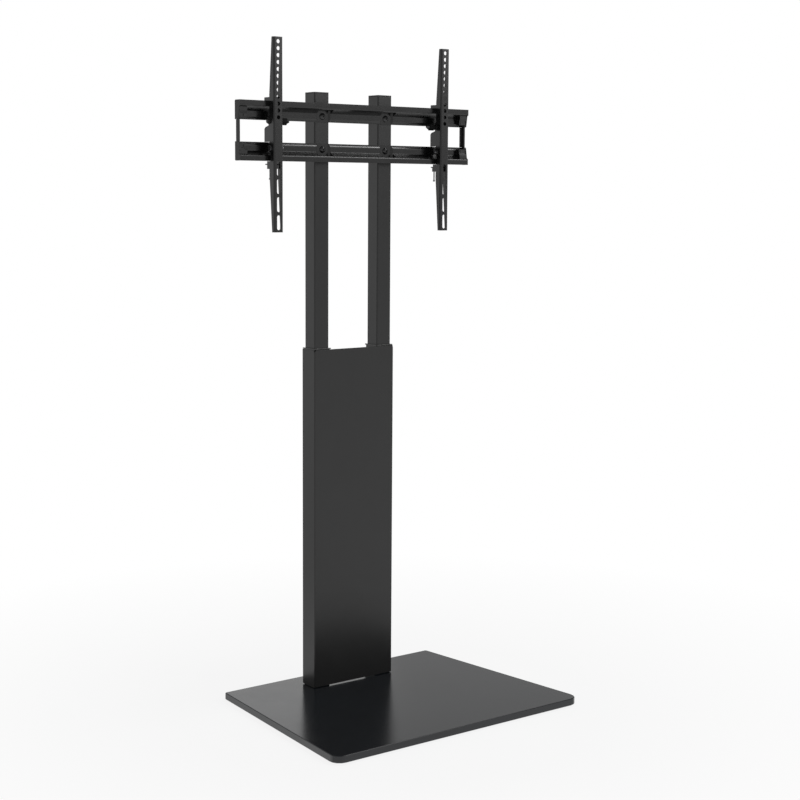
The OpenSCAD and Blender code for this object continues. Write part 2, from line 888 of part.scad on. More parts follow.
// Plug of the upper head, under the shelf and against the web
module head_plug() {
    web_face = web_y - plug_gap;
    difference() {
        across(rail_end - cap_plug, rail_end)
            difference() {
                polygon([
                    [cap_web_front, plug_foot], [web_face, plug_foot],
                    [web_face, shelf_face(web_face) - rail_t],
                    [web_face - rail_t, shelf_face(web_face - rail_t)],
                    [plug_front, shelf_face(plug_front)],
                    [plug_front, shelf_face(plug_front) - 3 * cap_screw_r],
                    [cap_web_front, plug_foot + 3 * cap_screw_r]
                ]);
                polygon([
                    [cap_web_front + rail_t, plug_foot + rail_t],
                    [web_face - rail_t, plug_foot + rail_t],
                    [web_face - rail_t, shelf_face(web_face) - 2 * rail_t],
                    [plug_front + 2 * rail_t, shelf_face(plug_front + 2 * rail_t) - 2 * rail_t]
                ]);
            }
        bar_y(cap_web_front - over, web_y + over, cap_screw_x, cap_screw_z,
            cap_screw_r / 2 + run_gap);
    }
}

// Moulded cap that closes both rails at one end and joins them by an angled strip
module rail_cap() color([0.1, 0.1, 0.1]) {
    face_back = web_y + rail_t;
    strip_x = rail_end + cap_t - cap_strip_step;
    gap_h = rail_gap_high - rail_gap_low;
    across(rail_end, rail_end + cap_t) {
        polygon(head_outline());
        translate([0, 2 * rails_mid])
            mirror([0, 1])
                polygon(head_outline());
    }
    across(strip_x - cap_t, strip_x) {
        translate([face_back - cap_strip_d, rail_gap_low + slide_gap])
            square([cap_strip_d, gap_h - 2 * slide_gap]);
        translate([face_back - cap_strip_d, 2 * rails_mid - plug_foot - rail_t])
            square([cap_strip_d - rail_t - plug_gap, 2 * (plug_foot + rail_t - rails_mid)]);
    }
    across(strip_x - cap_strip_w, strip_x)
        translate([face_back - cap_t, rail_gap_low + slide_gap])
            square([cap_t, gap_h - 2 * slide_gap]);
    head_plug();
    lower() head_plug();
}

module rail_cap_left() on_side(left) rail_cap();
module rail_cap_right() on_side(right) rail_cap();

// Small pan-head screws that hold the caps' plugs to the rails
module cap_screws() color([0.3, 0.3, 0.32]) {
    for (side = [left, right])
        for (z = [cap_screw_z, 2 * rails_mid - cap_screw_z]) {
            bar_y(cap_web_front, web_y + rail_t, side * cap_screw_x, z, cap_screw_r / 2);
            bar_y(cap_web_front - cap_screw_h, cap_web_front, side * cap_screw_x, z,
                cap_screw_r);
        }
}

// Outline of a bracket's side plate in Y and Z, clockwise from the front top
function hook_outline() = [
    [hook_y, hook_top - hook_t], [hook_y + hook_t, hook_top],
    [hook_back - hook_t / 2, hook_top], [hook_back, hook_top - hook_t / 2],
    [hook_back, hook_tip + shelf_h / 2],
    [hook_behind + rail_depth / 2, hook_tip], [hook_behind, hook_tip],
    [hook_behind, hook_seat], [hook_face, hook_seat], [hook_face, ear_top + rail_t],
    [ear_back, ear_top - rail_t], [ear_back, ear_low], [hook_back - 2 * rail_t, tongue_top],
    [hook_back, tongue_top - 2 * rail_t], [hook_back, tongue_low],
    [hook_face, tongue_low], [hook_face, foot_z], [foot_back, foot_z],
    [foot_back, hook_bottom], [hook_y + hook_sweep, hook_bottom],
    [hook_y, pivot_z - pivot_r]
];

// Points on an arc about a centre, from one angle to another
function arc_points(centre, r, a0, a1) = [
    for (k = [0:2 * bend_steps])
        let (a = a0 + (a1 - a0) * k / (2 * bend_steps))
        centre + r * [cos(a), sin(a)]
];

// Curved slot in which the tilt bolt travels, in Y and Z about the pivot
module tilt_slot(half) {
    pivot = [pivot_y, pivot_z];
    finish = tilt_start + tilt_max;
    ends = [for (a = [tilt_start, finish]) pivot + tilt_reach * [cos(a), sin(a)]];
    polygon(concat(
        arc_points(pivot, tilt_reach + half, tilt_start, finish),
        arc_points(ends[1], half, finish, finish + half_turn),
        arc_points(pivot, tilt_reach - half, finish, tilt_start),
        arc_points(ends[0], half, tilt_start + half_turn, tilt_start + 2 * half_turn)
    ));
}

// Channel bracket that hooks over the upper rail and stands in front of both
module hook_bracket(side) color([0.15, 0.15, 0.15]) {
    path = [
        [-hook_half + hook_t / 2, hook_back + over], [-hook_half + hook_t / 2, hook_y + hook_t / 2],
        [hook_half - hook_t / 2, hook_y + hook_t / 2], [hook_half - hook_t / 2, hook_back + over]
    ];
    lock_x = -side * lock_shift;
    translate([side * arm_x, 0, 0]) {
        difference() {
            intersection() {
                translate([0, 0, hook_bottom - over])
                    linear_extrude(hook_top - hook_bottom + 2 * over)
                        folded(path, hook_t, hook_t);
                across(-arm_w, arm_w)
                    polygon(hook_outline());
            }
            across(-arm_w, arm_w) {
                tilt_slot(tilt_r + slide_gap);
                translate([pivot_y, pivot_z])
                    circle(pivot_r + run_gap);
            }
            through(hook_y - over, hook_y + 2 * hook_t)
                translate([0, (ear_low + ear_top) / 2])
                    square([2 * hook_half - window_edge, ear_top - ear_low], center = true);
            through(hook_y - over, hook_y + hook_sweep + hook_t)
                translate([0, hook_bottom])
                    square([2 * hook_half - 2 * hook_t - 2 * over, 2 * (pivot_z - hook_bottom)],
                        center = true);
        }
        difference() {
            translate([-hook_half + hook_t, tab_front, tab_z])
                cube([2 * hook_half - 2 * hook_t, tab_back - tab_front, tab_t]);
            bar_z(tab_z - over, tab_z + tab_t + over, lock_x, lock_y, lock_r + run_gap);
        }
    }
}

module hook_bracket_left() hook_bracket(left);
module hook_bracket_right() hook_bracket(right);

// Shouldered pivot bolt through the bracket and both flanges of the arm
module pivot_bolt() color([0.3, 0.3, 0.31]) {
    head = arm_x + arm_w / 2 + slide_gap;
    tail = arm_x - arm_w / 2 - slide_gap - pivot_nut_h - pivot_tail;
    bar_x(tail, head, pivot_y, pivot_z, pivot_r);
    bar_x(head, head + pivot_head_h, pivot_y, pivot_z, pivot_head_r);
}

module pivot_bolt_left() on_side(left) pivot_bolt();
module pivot_bolt_right() on_side(right) pivot_bolt();

module pivot_nut() color([0.4, 0.4, 0.42]) {
    x = arm_x - arm_w / 2 - slide_gap - pivot_nut_h;
    difference() {
        translate([x, pivot_y, pivot_z])
            rotate([0, 90, 0])
                cylinder(h = pivot_nut_h, r = pivot_head_r, $fn = 6);
        bar_x(x - over, x + pivot_nut_h + over, pivot_y, pivot_z, pivot_r + run_gap);
    }
}

module pivot_nut_left() on_side(left) pivot_nut();
module pivot_nut_right() on_side(right) pivot_nut();

// Nut under the bracket's tab, for the lock screw
module lock_nut() color([0.35, 0.35, 0.36]) {
    x = arm_x - lock_shift;
    difference() {
        translate([x, lock_y, tab_z - lock_nut_h])
            cylinder(h = lock_nut_h, r = lock_nut_r, $fn = 6);
        bar_z(tab_z - lock_nut_h - over, tab_z + over, x, lock_y, lock_r + run_gap);
    }
}

module lock_nut_left() on_side(left) lock_nut();
module lock_nut_right() on_side(right) lock_nut();

// Lock screw that hangs loose under the bracket
module lock_screw() color([0.3, 0.3, 0.3]) {
    x = arm_x - lock_shift;
    bar_z(lock_bottom, lock_tip, x, lock_y, lock_r);
    difference() {
        bar_z(lock_bottom, lock_bottom + lock_head_h, x, lock_y, lock_head_r);
        translate([x, lock_y, lock_bottom - over])
            cylinder(h = lock_head_h / 2 + over, r = lock_r * 0.8, $fn = 6);
    }
}

module lock_screw_left() on_side(left) lock_screw();
module lock_screw_right() on_side(right) lock_screw();

// Outline of an arm's flange in Y and Z, with its relief for the lower lip
function flange_outline() = [
    [arm_y - over, arm_bottom], [arm_y + arm_end_d, arm_bottom],
    [arm_y + arm_mid_d, arm_bottom + arm_taper], [arm_y + arm_mid_d, relief_bottom - relief_sweep],
    [arm_y + relief_d, relief_bottom], [arm_y + relief_d, relief_top],
    [arm_y + arm_mid_d, relief_top + relief_sweep], [arm_y + arm_mid_d, arm_top - arm_taper],
    [arm_y + arm_end_d, arm_top], [arm_y - over, arm_top]
];

// Foot of the ear that carries the tilt bolt behind the flange's edge
function ear_outline() = [
    [arm_y + arm_end_d, tilt_z + 3 * ear_r], [arm_y + arm_end_d, tilt_z - 3 * ear_r],
    [arm_y + arm_mid_d, tilt_z - 2 * ear_r], [tilt_y + ear_r * sqrt(0.5), tilt_z - ear_r * sqrt(0.5)],
    [tilt_y + ear_r * sqrt(0.5), tilt_z + ear_r * sqrt(0.5)], [arm_y + arm_mid_d, tilt_z + 2 * ear_r]
];

// Channel arm with its row of round holes and its row of slots
module arm() color([0.2, 0.2, 0.2]) {
    x = arm_w / 2 - arm_t / 2;
    back = tilt_y + ear_r + over;
    path = [[-x, back], [-x, arm_y + arm_t / 2], [x, arm_y + arm_t / 2], [x, back]];
    translate([arm_x, 0, 0])
        difference() {
            intersection() {
                translate([0, 0, arm_bottom])
                    linear_extrude(arm_len)
                        folded(path, arm_t, arm_bend);
                across(-arm_w, arm_w) {
                    polygon(flange_outline());
                    polygon(ear_outline());
                    translate([tilt_y, tilt_z])
                        circle(ear_r);
                }
            }
            for (i = [0:hole_count - 1])
                bar_y(arm_y - over, arm_y + arm_t + over, 0,
                    arm_top - hole_first - i * hole_pitch, hole_r);
            for (i = [0:slot_count - 1])
                through(arm_y - over, arm_y + arm_t + over)
                    translate([0, arm_bottom + slot_last + i * slot_pitch]) {
                        square([2 * hole_r, slot_len - 2 * hole_r], center = true);
                        for (end = [left, right])
                            translate([0, end * (slot_len / 2 - hole_r)])
                                circle(hole_r);
                    }
            bar_x(-arm_w, arm_w, pivot_y, pivot_z, pivot_r + run_gap);
            bar_x(-arm_w, arm_w, tilt_y, tilt_z, tilt_r + run_gap);
        }
}

module arm_left() on_side(left) arm();
module arm_right() on_side(right) arm();

// Hexagon bolt that clamps the tilt, its tail on the inner side
module tilt_bolt() color([0.3, 0.3, 0.31]) {
    head = arm_x + arm_w / 2 + tilt_washer_t;
    tail = arm_x - arm_w / 2 - tilt_washer_t - tilt_knob_h - tilt_tail;
    bar_x(tail, head, tilt_y, tilt_z, tilt_r);
    translate([head, tilt_y, tilt_z])
        rotate([0, 90, 0])
            cylinder(h = tilt_head_h, r = tilt_head_r, $fn = 6);
}

module tilt_bolt_left() on_side(left) tilt_bolt();
module tilt_bolt_right() on_side(right) tilt_bolt();

module tilt_washers() color([0.4, 0.4, 0.42]) {
    for (x = [arm_x - arm_w / 2 - tilt_washer_t, arm_x + arm_w / 2])
        difference() {
            bar_x(x, x + tilt_washer_t, tilt_y, tilt_z, tilt_washer_r);
            bar_x(x - over, x + tilt_washer_t + over, tilt_y, tilt_z, tilt_r + run_gap);
        }
}

module tilt_washers_left() on_side(left) tilt_washers();
module tilt_washers_right() on_side(right) tilt_washers();

// Lobed knob that tightens the tilt bolt
module tilt_knob() color([0.06, 0.06, 0.06]) {
    x = arm_x - arm_w / 2 - tilt_washer_t - tilt_knob_h - slide_gap;
    translate([x, tilt_y, tilt_z])
        rotate([0, 90, 0])
            difference() {
                union() {
                    linear_extrude(tilt_knob_h * 0.7)
                        lobed(tilt_knob_r, 5);
                    cylinder(h = tilt_knob_h, r = tilt_washer_r);
                }
                translate([0, 0, -over])
                    cylinder(h = tilt_knob_h + 2 * over, r = tilt_r + run_gap);
            }
}

module tilt_knob_left() on_side(left) tilt_knob();
module tilt_knob_right() on_side(right) tilt_knob();

base_board();
foot_pads();
base_bolts();
base_washers();
outer_tube_left();
outer_tube_right();
tie_lower();
tie_upper();
column_cover();
cover_screws();
tube_bush_left();
tube_bush_right();
clamp_nut_left();
clamp_nut_right();
clamp_knob_left();
clamp_knob_right();
inner_post_left();
inner_post_right();
post_cap_left();
post_cap_right();
post_glide_left();
post_glide_right();
rail_top();
rail_bottom();
rail_bolts();
rail_washers();
rail_nuts();
rail_cap_left();
rail_cap_right();
cap_screws();
hook_bracket_left();
hook_bracket_right();
pivot_bolt_left();
pivot_bolt_right();
pivot_nut_left();
pivot_nut_right();
lock_nut_left();
lock_nut_right();
lock_screw_left();
lock_screw_right();
arm_left();
arm_right();
tilt_bolt_left();
tilt_bolt_right();
tilt_washers_left();
tilt_washers_right();
tilt_knob_left();
tilt_knob_right();
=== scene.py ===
"""Looks of a floor stand for a television, built round its packed model."""

import json
import math

import bmesh
import bpy
from mathutils import Matrix, Vector

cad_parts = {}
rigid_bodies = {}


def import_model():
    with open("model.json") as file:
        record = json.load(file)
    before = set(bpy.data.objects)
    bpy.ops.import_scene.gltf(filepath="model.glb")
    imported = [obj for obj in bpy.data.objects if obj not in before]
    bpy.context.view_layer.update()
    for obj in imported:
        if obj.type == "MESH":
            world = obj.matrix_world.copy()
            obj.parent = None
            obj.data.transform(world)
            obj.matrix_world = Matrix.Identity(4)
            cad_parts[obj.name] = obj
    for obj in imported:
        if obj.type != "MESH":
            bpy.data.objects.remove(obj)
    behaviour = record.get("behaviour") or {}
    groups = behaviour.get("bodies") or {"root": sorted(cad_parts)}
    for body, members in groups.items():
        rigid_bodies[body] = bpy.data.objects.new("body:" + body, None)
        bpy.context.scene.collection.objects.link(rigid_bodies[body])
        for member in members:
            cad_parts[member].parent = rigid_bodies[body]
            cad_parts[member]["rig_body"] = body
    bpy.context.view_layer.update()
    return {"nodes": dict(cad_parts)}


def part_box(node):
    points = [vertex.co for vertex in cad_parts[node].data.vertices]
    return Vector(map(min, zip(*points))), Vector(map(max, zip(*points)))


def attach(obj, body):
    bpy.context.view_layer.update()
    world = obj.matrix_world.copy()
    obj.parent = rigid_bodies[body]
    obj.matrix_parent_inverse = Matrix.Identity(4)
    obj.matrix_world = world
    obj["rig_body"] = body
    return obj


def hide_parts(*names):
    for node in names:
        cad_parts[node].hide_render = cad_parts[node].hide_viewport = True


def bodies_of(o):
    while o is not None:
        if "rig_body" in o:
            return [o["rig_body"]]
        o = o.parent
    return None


bl_info = {
    "name": "Television floor stand",
    "version": (1, 0, 0),
    "blender": (4, 5, 0),
    "location": "View3D > Sidebar > TV stand",
    "description": "Builds the finished pieces, materials and stage of a television floor stand",
    "category": "Object",
}

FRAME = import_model()
NODES = FRAME["nodes"]

# Sides of the stand, each with the sign of X on that side
SIDES = {"left": -1, "right": 1}

# Radii of the threaded shafts, as the solids have them
CLAMP_R = 0.004
PIVOT_R = 0.004
TILT_R = 0.003
LOCK_R = 0.0016

# Root of a thread as a share of its radius, and the steps of one turn
ROOT = 0.84
RING = 20

# Section of a thread's ridge: shares of the pitch and of the radius
RIDGE = ((0.08, ROOT * 0.97), (0.42, 1), (0.58, 1), (0.92, ROOT * 0.97))

# Share of a shaft's radius within which its corners are looked for
SHAFT_SLACK = 0.04

# How near corners of the CAD mesh are one, and how flat its faces are joined
SAME_CORNER = 2e-6
SAME_FACE = math.radians(0.6)

# Drops of a weld: their sizes, their step as a share of the size, and their unevenness
FLANGE_BEAD = 0.0015
EDGE_BEAD = 0.0013
NUT_BEAD = 0.0012
BEAD_STEP = 0.55
BEAD_WOBBLE = 0.08

# Swing of the unevenness, in radians: from one drop to the next, and by a metre of height
DROP_SWING, HEIGHT_SWING = 2.4, 900

# Lights: the setting with the power, the size, the place and the point that is faced
LIGHTS = {
    "key_light": ("key", 2.0, (1.9, -2.3, 2.7), (0, 0.15, 1.2)),
    "top_light": ("top", 0.9, (1.68, -0.34, 3.47), (0, 0.15, 1.35)),
    "rim_light": ("rim", 1.8, (-2.0, 2.2, 0.9), (-0.7, 0.9, 0)),
    "back_light": ("back", 1.0, (1.34, 2.68, 1.0), (-0.2, 0, 0)),
}

# Floor: its radius, and the distance over which it turns to plain white for the camera
FLOOR_R = 14
SHADED_TO, WHITE_FROM = 0.5, 1.6
SHADED_SHARE = 0.86

# The floor's painted glow in reflections falls off behind the stand to a share of its full value
SHINE_FROM, SHINE_TO = -0.2, 1.2
SHINE_BEHIND = 0.4

# Height of a direction at which the room's walls have turned to ceiling
WALL_TOP = 0.7


# Sizes and colours that a user can change, each group with its heading in the panel

class BoardSettings(bpy.types.PropertyGroup):
    """Board and pads"""

    colour: bpy.props.FloatVectorProperty(
        name="Colour", description="Colour of the board's satin lacquer",
        subtype="COLOR", size=3, min=0, max=1, default=(0.0048, 0.0067, 0.0092))
    roughness: bpy.props.FloatProperty(
        name="Roughness", description="Roughness of the board's lacquer",
        min=0, max=1, default=0.20)
    edge: bpy.props.FloatProperty(
        name="Edge", description="Rounding of the board's edges",
        subtype="DISTANCE", unit="LENGTH", min=0.0001, max=0.002, default=0.0005)
    pad_edge: bpy.props.FloatProperty(
        name="Pad edge", description="Rounding of the foot pads' edges",
        subtype="DISTANCE", unit="LENGTH", min=0.0001, max=0.002, default=0.0008)


class CoatSettings(bpy.types.PropertyGroup):
    """Powder coat"""

    colour: bpy.props.FloatVectorProperty(
        name="Colour", description="Colour of the powder coat on the steel",
        subtype="COLOR", size=3, min=0, max=1, default=(0.0050, 0.0050, 0.0051))
    roughness: bpy.props.FloatProperty(
        name="Roughness", description="Roughness of the powder coat",
        min=0, max=1, default=0.30)
    grain: bpy.props.FloatProperty(
        name="Grain", description="Size of the powder coat's orange peel",
        subtype="DISTANCE", unit="LENGTH", min=0.0005, max=0.01, default=0.0016)
    edge: bpy.props.FloatProperty(
        name="Edge", description="Rounding of the cut sheet edges",
        subtype="DISTANCE", unit="LENGTH", min=0.00005, max=0.001, default=0.00025)


class PlasticSettings(bpy.types.PropertyGroup):
    """Moulded pieces"""

    colour: bpy.props.FloatVectorProperty(
        name="Colour", description="Colour of the moulded caps, bushes and knobs",
        subtype="COLOR", size=3, min=0, max=1, default=(0.007, 0.007, 0.007))
    roughness: bpy.props.FloatProperty(
        name="Roughness", description="Roughness of the moulded pieces",
        min=0, max=1, default=0.5)
    edge: bpy.props.FloatProperty(
        name="Edge", description="Rounding of the caps' and glides' edges",
        subtype="DISTANCE", unit="LENGTH", min=0.0001, max=0.003, default=0.0006)
    collar: bpy.props.FloatProperty(
        name="Collar", description="Rounding of the tube bushes' collars",
        subtype="DISTANCE", unit="LENGTH", min=0.0001, max=0.003, default=0.0011)
    clamp_grip: bpy.props.FloatProperty(
        name="Clamp grip", description="Rounding of the clamp knobs' grips",
        subtype="DISTANCE", unit="LENGTH", min=0.0001, max=0.003, default=0.0012)
    tilt_grip: bpy.props.FloatProperty(
        name="Tilt grip", description="Rounding of the tilt knobs' grips",
        subtype="DISTANCE", unit="LENGTH", min=0.0001, max=0.003, default=0.0008)


class HardwareSettings(bpy.types.PropertyGroup):
    """Screws and nuts"""

    zinc: bpy.props.FloatVectorProperty(
        name="Zinc", description="Colour of the zinc-plated screws and nuts",
        subtype="COLOR", size=3, min=0, max=1, default=(0.16, 0.16, 0.165))
    black: bpy.props.FloatVectorProperty(
        name="Black", description="Colour of the blackened screws",
        subtype="COLOR", size=3, min=0, max=1, default=(0.010, 0.010, 0.0105))
    pitch: bpy.props.FloatProperty(
        name="Pitch", description="Pitch of the threads as a share of the screw's radius",
        min=0.2, max=0.6, default=0.34)
    edge: bpy.props.FloatProperty(
        name="Edge", description="Rounding of the edges of screws and nuts",
        subtype="DISTANCE", unit="LENGTH", min=0.00005, max=0.001, default=0.0003)
    thin_edge: bpy.props.FloatProperty(
        name="Thin edge", description="Rounding of the plain washers' edges",
        subtype="DISTANCE", unit="LENGTH", min=0.00005, max=0.001, default=0.0002)
    head_edge: bpy.props.FloatProperty(
        name="Head edge", description="Rounding of the heads of the rail caps' screws",
        subtype="DISTANCE", unit="LENGTH", min=0.00005, max=0.001, default=0.0006)


class StageSettings(bpy.types.PropertyGroup):
    """Camera, lights and room"""

    place: bpy.props.FloatVectorProperty(
        name="Camera place", description="Place of the camera",
        subtype="TRANSLATION", unit="LENGTH", size=3, default=(-2.2395, -2.9288, 1.1916))
    yaw: bpy.props.FloatProperty(
        name="Yaw", description="Turn of the view from straight back to the right",
        subtype="ANGLE", default=math.radians(37.56))
    pitch: bpy.props.FloatProperty(
        name="Pitch", description="Tip of the view below the horizon",
        subtype="ANGLE", default=math.radians(7.30))
    roll: bpy.props.FloatProperty(
        name="Roll", description="Turn of the picture in its plane",
        subtype="ANGLE", default=math.radians(-0.37))
    lens: bpy.props.FloatProperty(
        name="Lens", description="Focal length on a sensor 36 mm wide",
        min=20, max=200, default=73.14)
    key: bpy.props.FloatProperty(
        name="Key light", description="Power of the large light in front on the right",
        subtype="POWER", unit="POWER", min=0, default=25)
    top: bpy.props.FloatProperty(
        name="Top light", description="Power of the large light overhead",
        subtype="POWER", unit="POWER", min=0, default=20)
    rim: bpy.props.FloatProperty(
        name="Rim light", description="Power of the light behind on the left",
        subtype="POWER", unit="POWER", min=0, default=2)
    back: bpy.props.FloatProperty(
        name="Back light", description="Power of the low light behind that the board reflects",
        subtype="POWER", unit="POWER", min=0, default=1.6)
    floor: bpy.props.FloatProperty(
        name="Floor", description="How much whiter the floor is in reflections",
        min=0, max=1, default=1.0)
    room: bpy.props.FloatProperty(
        name="Room", description="Strength of the pale room's light from its walls",
        min=0, max=2, default=0.72)
    ceiling: bpy.props.FloatProperty(
        name="Ceiling", description="Strength of the pale room's light from above",
        min=0, max=2, default=0.28)


SETTINGS = {
    "stand_board": BoardSettings,
    "stand_coat": CoatSettings,
    "stand_plastic": PlasticSettings,
    "stand_hardware": HardwareSettings,
    "stand_stage": StageSettings,
}


# Materials

class Shades:
    """Shorthand for the nodes of one material, with all patterns on Object coordinates"""

    def __init__(self, name):
        self.material = bpy.data.materials.new(name)
        self.material.use_nodes = True
        self.tree = self.material.node_tree
        self.shader = self.tree.nodes["Principled BSDF"]

    def node(self, kind, **values):
        """A new node, with settings of the node or of its sockets by name"""
        made = self.tree.nodes.new(kind)
        for key, value in values.items():
            if hasattr(made, key):
                setattr(made, key, value)
            else:
                made.inputs[key].default_value = value
        return made

    def link(self, source, target):
        """Joins two sockets"""
        self.tree.links.new(source, target)

    def place(self):
        """The point on the piece, so that a pattern keeps its size and moves along"""
        return self.node("ShaderNodeTexCoord").outputs["Object"]

    def noise(self, size, detail, rough=0.5):
        """Noise whose clouds are about as long as the size, in metres"""
        made = self.node("ShaderNodeTexNoise", Scale=1 / size, Detail=detail, Roughness=rough)
        self.link(self.place(), made.inputs["Vector"])
        return made.outputs["Fac"]

    def mapped(self, value, low, high, start=0, stop=1):
        """A value that goes from low to high while the given one goes from start to stop"""
        made = self.node("ShaderNodeMapRange")
        made.inputs["From Min"].default_value = start
        made.inputs["From Max"].default_value = stop
        made.inputs["To Min"].default_value = low
        made.inputs["To Max"].default_value = high
        self.link(value, made.inputs["Value"])
        return made.outputs["Result"]

    def shaded(self, value, *stops):
        """Gives the shader a colour between two stops, each a place and a colour"""
        made = self.node("ShaderNodeValToRGB")
        for element, (place, colour) in zip(made.color_ramp.elements, stops):
            element.position = place
            element.color = (*colour, 1)
        self.link(value, made.inputs["Fac"])
        self.link(made.outputs["Color"], self.shader.inputs["Base Color"])

    def rough(self, value, low, high):
        """Gives the shader a roughness between two values"""
        self.link(self.mapped(value, low, high), self.shader.inputs["Roughness"])

    def bump(self, height, strength, distance):
        """Gives the shader the slope of a height"""
        made = self.node("ShaderNodeBump", Strength=strength, Distance=distance)
        self.link(height, made.inputs["Height"])
        self.link(made.outputs["Normal"], self.shader.inputs["Normal"])


def scaled(colour, k):
    """A colour that is k times as bright"""
    return tuple(min(1, c * k) for c in colour)


def satin_lacquer(name, settings):
    """Black satin lacquer with a fine grain, faint clouding and uneven gloss"""
    m = Shades(name)
    colour = tuple(settings.colour)
    m.shaded(m.noise(size=0.22, detail=3),
             (0.35, scaled(colour, 0.85)), (0.65, scaled(colour, 1.2)))
    m.rough(m.noise(size=0.05, detail=4), settings.roughness - 0.04, settings.roughness + 0.05)
    m.bump(m.noise(size=0.0012, detail=2), strength=0.12, distance=0.00012)
    return m.material


def powder_coat(name, settings, tone=1.0, roughness=0.0):
    """Black powder coat: orange peel, slight clouding and uneven gloss"""
    m = Shades(name)
    colour = scaled(tuple(settings.colour), tone)
    rough = settings.roughness + roughness
    m.shaded(m.noise(size=0.09, detail=3),
             (0.3, scaled(colour, 0.86)), (0.7, scaled(colour, 1.16)))
    m.rough(m.noise(size=0.03, detail=3), rough - 0.05, rough + 0.05)
    m.bump(m.noise(settings.grain, detail=3, rough=0.6), strength=0.25, distance=0.00015)
    return m.material


def moulded_plastic(name, settings, tone=1.0, roughness=0.0, shine=0.5):
    """Black moulded plastic with a spark-eroded grain"""
    m = Shades(name)
    colour = scaled(tuple(settings.colour), tone)
    rough = settings.roughness + roughness
    m.shaded(m.noise(size=0.02, detail=2),
             (0.3, scaled(colour, 0.9)), (0.7, scaled(colour, 1.15)))
    m.rough(m.noise(size=0.008, detail=2), rough - 0.06, rough + 0.06)
    m.bump(m.noise(size=0.0005, detail=3, rough=0.7), strength=0.35, distance=0.00008)
    m.shader.inputs["Specular IOR Level"].default_value = shine
    return m.material


def soft_rubber(name):
    """Matt black rubber with a dusty bloom"""
    m = Shades(name)
    m.shaded(m.noise(size=0.006, detail=4),
             (0.3, (0.012, 0.012, 0.012)), (0.8, (0.03, 0.03, 0.029)))
    m.shader.inputs["Roughness"].default_value = 0.85
    m.bump(m.noise(size=0.0008, detail=3), strength=0.3, distance=0.0001)
    return m.material


def plated_steel(name, colour):
    """Bright zinc plating with fine turning marks and slight clouding"""
    m = Shades(name)
    m.shaded(m.noise(size=0.004, detail=3),
             (0.3, scaled(colour, 0.82)), (0.7, scaled(colour, 1.12)))
    m.shader.inputs["Metallic"].default_value = 1
    m.rough(m.noise(size=0.0015, detail=3), 0.25, 0.45)
    m.bump(m.noise(size=0.0006, detail=2), strength=0.15, distance=0.00005)
    return m.material


def blackened_steel(name, colour, smooth=0.16, dull=0.28):
    """Oiled black oxide on a screw's head, with its least and its greatest roughness"""
    m = Shades(name)
    m.shaded(m.noise(size=0.003, detail=3),
             (0.3, scaled(colour, 0.8)), (0.7, scaled(colour, 1.5)))
    m.rough(m.noise(size=0.002, detail=2), smooth, dull)
    m.bump(m.noise(size=0.0007, detail=2), strength=0.2, distance=0.00005)
    return m.material


# Mesh work

def dress(thing, material):
    """Puts one material on a piece"""
    thing.data.materials.clear()
    thing.data.materials.append(material)


def body_of(node):
    """The body that a CAD node moves with"""
    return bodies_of(NODES[node])[0]


def made_piece(bm, name, angle=30):
    """Turns a bmesh into a piece with smooth faces and sharp edges kept"""
    mesh = bpy.data.meshes.new(name)
    bm.to_mesh(mesh)
    bm.free()
    mesh.polygons.foreach_set("use_smooth", [True] * len(mesh.polygons))
    mesh.set_sharp_from_angle(angle=math.radians(angle))
    piece = bpy.data.objects.new(name, mesh)
    bpy.context.scene.collection.objects.link(piece)
    return piece


def merged_copy(node):
    """A bmesh of a CAD node with its loose triangles joined to flat faces"""
    bm = bmesh.new()
    bm.from_mesh(NODES[node].data)
    bmesh.ops.remove_doubles(bm, verts=bm.verts, dist=SAME_CORNER)
    bmesh.ops.dissolve_limit(bm, angle_limit=SAME_FACE, verts=bm.verts, edges=bm.edges)
    return bm


def softened(node, width, material, segments=2, angle=28, shaft=None):
    """A copy of a CAD node with its sharp edges rounded, which stands for the node.

    A shaft is an axis, a radius and a material for the threaded part of it.
    """
    bm = merged_copy(node)
    if shaft:
        for face in thinned(bm, shaft[0], shaft[1]):
            face.material_index = 1
    piece = made_piece(bm, node + "_finished", angle=40)
    bevel = piece.modifiers.new("Rounded edges", "BEVEL")
    bevel.width = width
    bevel.segments = segments
    bevel.limit_method = "ANGLE"
    bevel.angle_limit = math.radians(angle)
    bevel.harden_normals = True
    bevel.use_clamp_overlap = True
    even = piece.modifiers.new("Even shading", "WEIGHTED_NORMAL")
    even.mode = "FACE_AREA"
    even.weight = 100
    even.keep_sharp = True
    dress(piece, material)
    if shaft:
        piece.data.materials.append(shaft[2])
    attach(piece, body_of(node))
    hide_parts(node)


def thinned(bm, axis, radius):
    """Thins a screw's shaft to the root of its thread and tells which faces belong to it"""
    low = [min(v.co[i] for v in bm.verts) for i in range(3)]
    high = [max(v.co[i] for v in bm.verts) for i in range(3)]
    middle = (Vector(low) + Vector(high)) / 2
    shaft = set()
    for vert in bm.verts:
        out = vert.co - middle
        out[axis] = 0
        if out.length < radius * (1 + SHAFT_SLACK):
            shaft.add(vert)
            if out.length > radius * (1 - SHAFT_SLACK):
                vert.co -= out * (1 - ROOT)
    return [f for f in bm.faces if all(v in shaft for v in f.verts)]


